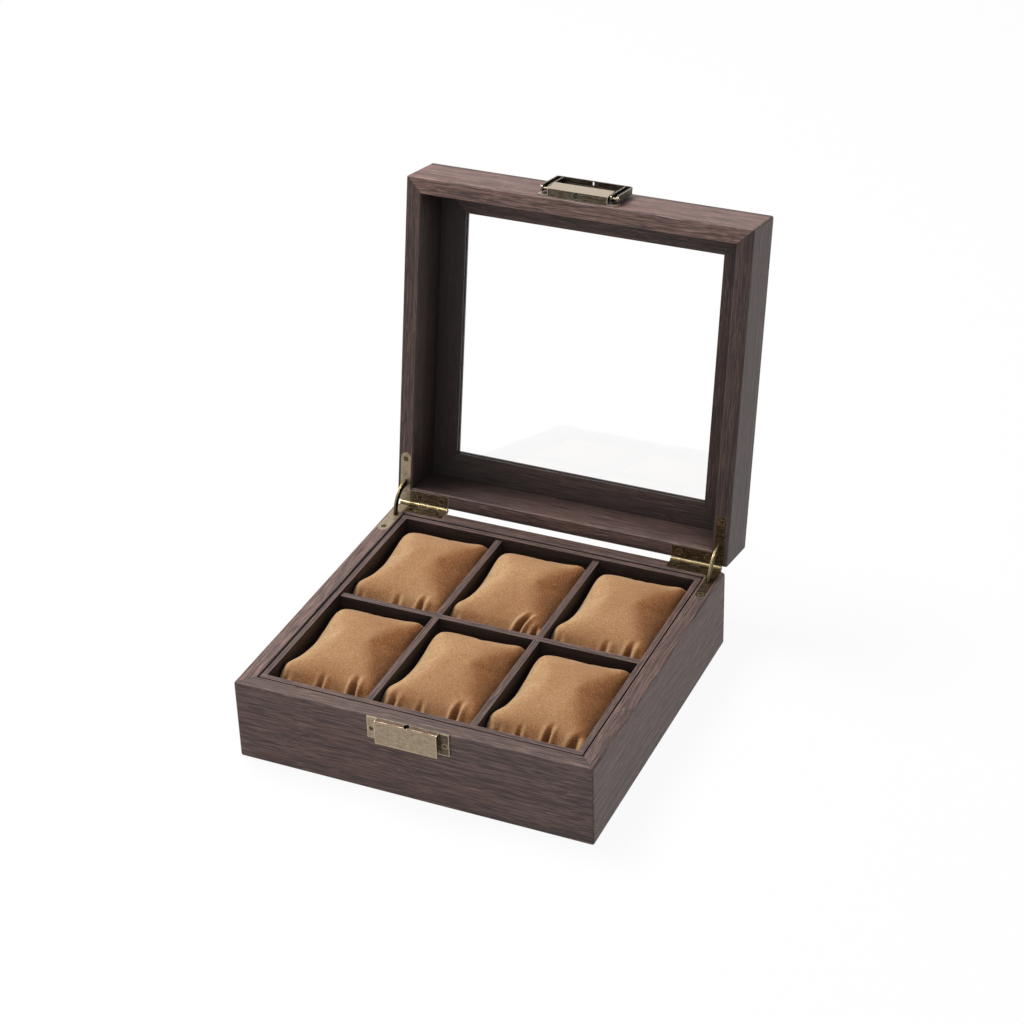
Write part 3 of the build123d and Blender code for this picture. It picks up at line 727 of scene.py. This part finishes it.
def trial_object(points, quads):
    mesh = bpy.data.meshes.new("trial")
    mesh.from_pydata([tuple(p) for p in points], [], quads)
    obj = bpy.data.objects.new("trial", mesh)
    scene.collection.objects.link(obj)
    return obj


def inflate(obj, pins):
    """Blows the cover up from inside with cloth, held at its foot."""
    group = obj.vertex_groups.new(name="pin")
    group.add(pins, 1.0, "REPLACE")
    cloth = obj.modifiers.new("Cloth", "CLOTH")
    s = cloth.settings
    s.quality = 7
    s.mass = 0.25
    s.tension_stiffness = 22
    s.compression_stiffness = 22
    s.shear_stiffness = 12
    s.bending_stiffness = 4.0
    s.use_pressure = True
    s.uniform_pressure_force = PRESSURE
    s.vertex_group_mass = "pin"
    s.effector_weights.gravity = 0
    cloth.point_cache.frame_start = 1
    cloth.point_cache.frame_end = SIM_FRAMES
    cloth.collision_settings.use_collision = False
    cloth.collision_settings.use_self_collision = False
    for f in range(1, SIM_FRAMES + 1):
        scene.frame_set(f)
    shape = obj.evaluated_get(bpy.context.evaluated_depsgraph_get())
    moved = [v.co.copy() for v in shape.data.vertices]
    obj.modifiers.remove(cloth)
    scene.frame_set(1)
    return moved


def finer(points, quads, kind):
    """The same grid with every quad in four, rounded or plain."""
    obj = trial_object(points, quads)
    sub = obj.modifiers.new("Smooth", "SUBSURF")
    sub.levels = 1
    sub.subdivision_type = kind
    fine = bpy.data.meshes.new_from_object(obj.evaluated_get(bpy.context.evaluated_depsgraph_get()))
    bpy.data.objects.remove(obj)
    return fine


def level_at(up):
    for low, high in zip(PILLOW_LEVELS, PILLOW_LEVELS[1:]):
        if up <= high[0]:
            t = (up - low[0]) / (high[0] - low[0])
            return [mixed(u, v, t) for u, v in zip(low, high)]
    return list(PILLOW_LEVELS[-1])


def pillow_point(a, b, c, half, depth):
    """A point of the slack cover in millimetres, from the middle of the back of the pillow's foot."""
    up, side_in, front_in, back_in, sag = level_at(SHOULDER * (c + 1) / 2)
    inner = 1.0
    if c > RIM:
        inner = max(abs(a), abs(b))
        if inner > 0:
            a, b = a / inner, b / inner
        fullness = mixed(CROWN_MIDDLE, CROWN_BACK, smooth(b))
        up += CROWN * math.sqrt(1 - inner ** fullness)
    reach_x = half - side_in
    reach_y = (depth - front_in - back_in) / 2
    middle = -back_in - reach_y
    draw = DRAW_FRONT if b < 0 else DRAW_BACK
    pa = a * (1 - CORNER_X * b ** CORNER_POWER)
    pb = b * (1 - CORNER_Y * a ** CORNER_POWER)
    x = pa * reach_x - sag * a * (1 - b * b) * abs(a)
    y = pb * reach_y - draw * sag * b * (1 - a * a) * abs(b)
    shift = CROWN_SHIFT * (1 - inner)
    return Vector((x * inner, middle + y * inner + shift, up))


def blown(rest, cube, quads):
    """The cover's points once it is blown up."""
    foot = [index for index, (a, b, c) in enumerate(cube) if c < -RIM]
    trial = trial_object([p * SIM_SCALE for p in rest], quads)
    shape = inflate(trial, foot)
    bpy.data.objects.remove(trial)
    moved = []
    for p, q in zip(rest, shape):
        step = q / SIM_SCALE - p
        if step.length > MAX_TRAVEL:
            step *= MAX_TRAVEL / step.length
        moved.append(p + step)
    return moved


def ear_pull(a, b, c):
    """How far the ears pull a point of the grid."""
    pull = Vector()
    for ear_a, ear_b, ear_c, out_x, out_y, lift, reach in EARS:
        d = math.sqrt((a - ear_a) ** 2 + (b - ear_b) ** 2 * EAR_SQUEEZE + (c - ear_c) ** 2)
        pull += Vector((out_x, out_y, lift)) * math.exp(-((d / reach) ** 2))
    return pull


def crease_push(a, b, c, creases):
    """How far the creases push a point of the grid out, or in where it is negative."""
    if c <= RIM and b >= -RIM:
        return 0.0
    # From -1 at the back edge to 1 at the front edge, and then on down the front
    down = -b if c > RIM else 1 + (1 - c) * FRONT_LENGTH
    fade_from, fade_over = CREASE_FADE
    push = 0.0
    for at, lean, begin, deep, width in creases:
        u = abs(a - at - lean * (1 - down)) / width
        fold = SWELL * math.exp(-(((u - SWELL_AT) / SWELL_WIDTH) ** 2)) - math.exp(-u * u)
        grow = smooth((down - begin) / CREASE_START) * (1 - smooth((down - fade_from) / fade_over))
        push += fold * deep * grow
    return push


def pillow(node, seed, creases):
    """The soft cover that takes the place of a pillow. Each crease gives its place across at the
    front edge, its lean, where it begins, its depth and half its width."""
    lo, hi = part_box(node)
    half = (hi.x - lo.x) / 2 * MM_PER_M
    depth = (hi.y - lo.y) * MM_PER_M
    start = Vector(((lo.x + hi.x) / 2, hi.y, lo.z))
    cube, quads = closed_box(*GRID)
    rest = [pillow_point(a, b, c, half, depth) / MM_PER_M + start for a, b, c in cube]
    moved = blown(rest, cube, quads)

    mesh = finer(moved, quads, "CATMULL_CLARK")
    grid = finer(cube, quads, "SIMPLE")
    normals = [v.normal.copy() for v in mesh.vertices]
    for vertex, spot, normal in zip(mesh.vertices, grid.vertices, normals):
        p = vertex.co + ear_pull(*spot.co) + normal * crease_push(*spot.co, creases)
        p.x = min(hi.x + SLACK_SIDE, max(lo.x - SLACK_SIDE, p.x))
        p.y = min(hi.y + SLACK_BACK, max(lo.y - SLACK_FRONT, p.y))
        p.z = max(lo.z, p.z)
        vertex.co = p
    mesh.update()
    mesh.name = "cover_" + node
    for poly in mesh.polygons:
        poly.use_smooth = True
    place = node[len("pillow_"):]
    obj = bpy.data.objects.new("cushion_" + place, mesh)
    scene.collection.objects.link(obj)
    mesh.materials.clear()
    mesh.materials.append(suede("suede_" + place, seed))
    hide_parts(node)
    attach(obj, node)


pillow("pillow_front_left", seed=0.3, creases=[
    (-0.88, 0.0, 0.90, 0.0018, 0.040),
    (-0.12, 0.2, 0.84, 0.0022, 0.042),
    (0.64, 0.1, 0.76, 0.0036, 0.045),
])
pillow("pillow_front_middle", seed=1.1, creases=[
    (-0.80, 0.2, 0.84, 0.0024, 0.042),
    (-0.20, 0.1, 0.88, 0.0014, 0.045),
    (0.60, 0.3, 0.76, 0.0030, 0.045),
])
pillow("pillow_front_right", seed=2.7, creases=[
    (-0.80, 0.0, 0.92, 0.0013, 0.040),
    (-0.36, 0.1, 0.88, 0.0018, 0.042),
    (0.26, 0.2, 0.78, 0.0030, 0.045),
    (0.84, 0.5, 0.80, 0.0028, 0.060),
])
pillow("pillow_rear_left", seed=3.9, creases=[
    (-0.84, 0.0, 0.90, 0.0016, 0.040),
    (0.02, 0.1, 0.86, 0.0018, 0.050),
    (0.60, 0.3, 0.80, 0.0024, 0.045),
])
pillow("pillow_rear_middle", seed=5.3, creases=[
    (-0.90, 0.0, 0.90, 0.0015, 0.040),
    (0.54, 0.7, 0.70, 0.0040, 0.045),
    (0.90, 0.4, 0.84, 0.0026, 0.042),
])
pillow("pillow_rear_right", seed=6.8, creases=[
    (-0.86, 0.0, 0.90, 0.0015, 0.040),
    (0.16, 0.2, 0.86, 0.0018, 0.050),
    (0.70, 0.3, 0.78, 0.0026, 0.045),
])


# Floor: white to the eye, in reflections and through glass, but it keeps some of its shadows
def seen_rays(tree):
    """1 for what is seen straight on, in a reflection or through glass."""
    paths = tree.nodes.new("ShaderNodeLightPath")
    total = paths.outputs["Is Camera Ray"]
    for ray in ("Is Glossy Ray", "Is Transmission Ray"):
        add = tree.nodes.new("ShaderNodeMath")
        add.operation = "ADD"
        add.use_clamp = True
        tree.links.new(total, add.inputs[0])
        tree.links.new(paths.outputs[ray], add.inputs[1])
        total = add.outputs[0]
    return total


FLOOR_HALF = 8
FLOOR_WHITE = 0.93
floor_mesh = bpy.data.meshes.new("floor")
corners = [(x * FLOOR_HALF, y * FLOOR_HALF, 0) for x, y in ((-1, -1), (1, -1), (1, 1), (-1, 1))]
floor_mesh.from_pydata(corners, [], [(0, 1, 2, 3)])
floor = bpy.data.objects.new("floor", floor_mesh)
scene.collection.objects.link(floor)
look = Look("floor")
look.shade(Base_Color=(0.80, 0.80, 0.80, 1.0), Roughness=1.0, Specular_IOR_Level=0.0)
white = look.add("ShaderNodeEmission", {"Color": (1, 1, 1, 1), "Strength": 1.0})
look.cover(look.math("MULTIPLY", seen_rays(look.tree), FLOOR_WHITE), white.outputs[0])
floor_mesh.materials.append(look.mat)

# World: a dim sky for the light, plain white for what is seen. Each has a colour and a strength.
DIM_SKY = ((0.93, 0.96, 1.0, 1), 0.35)
PLAIN_WHITE = ((1, 1, 1, 1), 1.0)
world = bpy.data.worlds.new("World")
scene.world = world
world.use_nodes = True
tree = world.node_tree
tree.nodes.clear()
blend = tree.nodes.new("ShaderNodeMixShader")
tree.links.new(seen_rays(tree), blend.inputs[0])
for number, (colour, strength) in enumerate((DIM_SKY, PLAIN_WHITE), start=1):
    background = tree.nodes.new("ShaderNodeBackground")
    background.inputs["Color"].default_value = colour
    background.inputs["Strength"].default_value = strength
    tree.links.new(background.outputs[0], blend.inputs[number])
tree.links.new(blend.outputs[0], tree.nodes.new("ShaderNodeOutputWorld").inputs["Surface"])


# Lamps
AIM = Vector((0, 0, 0.05))


def lamp(name, place, size, power, colour=(1, 1, 1)):
    data = bpy.data.lights.new(name, "AREA")
    data.color = colour
    data.shape = "DISK"
    data.size = size
    data.energy = power
    obj = bpy.data.objects.new(name, data)
    obj.location = place
    obj.rotation_euler = (AIM - Vector(place)).to_track_quat("-Z", "Y").to_euler()
    scene.collection.objects.link(obj)


lamp("key", (-0.9, 0.30, 2.0), size=0.9, power=49.0, colour=(1.0, 0.97, 0.93))
lamp("fill", (0.3, -1.6, 1.4), size=1.4, power=8.0)

scene.view_settings.view_transform = "Standard"
